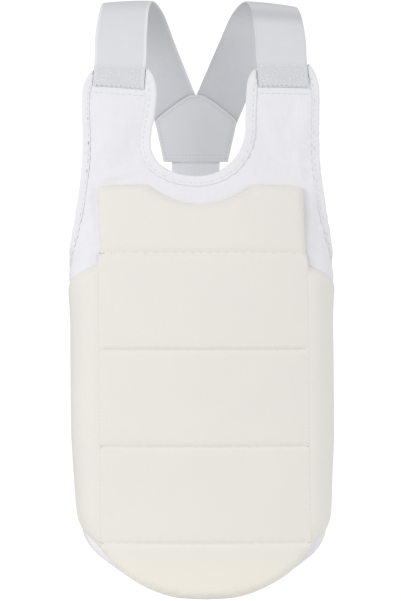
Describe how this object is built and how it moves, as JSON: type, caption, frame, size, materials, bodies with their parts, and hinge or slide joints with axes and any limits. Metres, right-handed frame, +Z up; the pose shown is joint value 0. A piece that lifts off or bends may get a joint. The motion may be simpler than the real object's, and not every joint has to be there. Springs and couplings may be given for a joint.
{
  "type": "karate chest protector",
  "caption": "Pull-on karate chest protector: a quilted ivory foam pad with side wings on a white cloth bib, held by wide elastic shoulder straps, a back yoke and a waist band.",
  "frame": {"origin": "midway between the two shoulder straps, level with the highest point of their undersides, where the shoulders carry them", "axes": "+Z up along the wearer's body, -Y out of the chest, +X to the wearer's left"},
  "size_m": [0.2676, 0.21, 0.6015],
  "materials": {
    "white_cotton": "matt woven cotton",
    "ivory_cover": "smooth knitted cover over foam",
    "white_elastic": "ribbed woven elastic",
    "patch_cloth": "firm plain cloth"
  },
  "bodies": {
    "root": {"bib_cloth": "white_cotton", "neck_binding": "white_cotton", "arm_binding_left": "white_cotton", "arm_binding_right": "white_cotton", "chest_pad": "ivory_cover", "wing_pad_left": "ivory_cover", "wing_pad_right": "ivory_cover", "shoulder_strap_left": "white_elastic", "shoulder_strap_right": "white_elastic", "back_strap": "white_elastic", "waist_band": "white_elastic", "yoke_patch_inner": "patch_cloth", "yoke_patch_outer": "patch_cloth"}
  },
  "joints": []
}
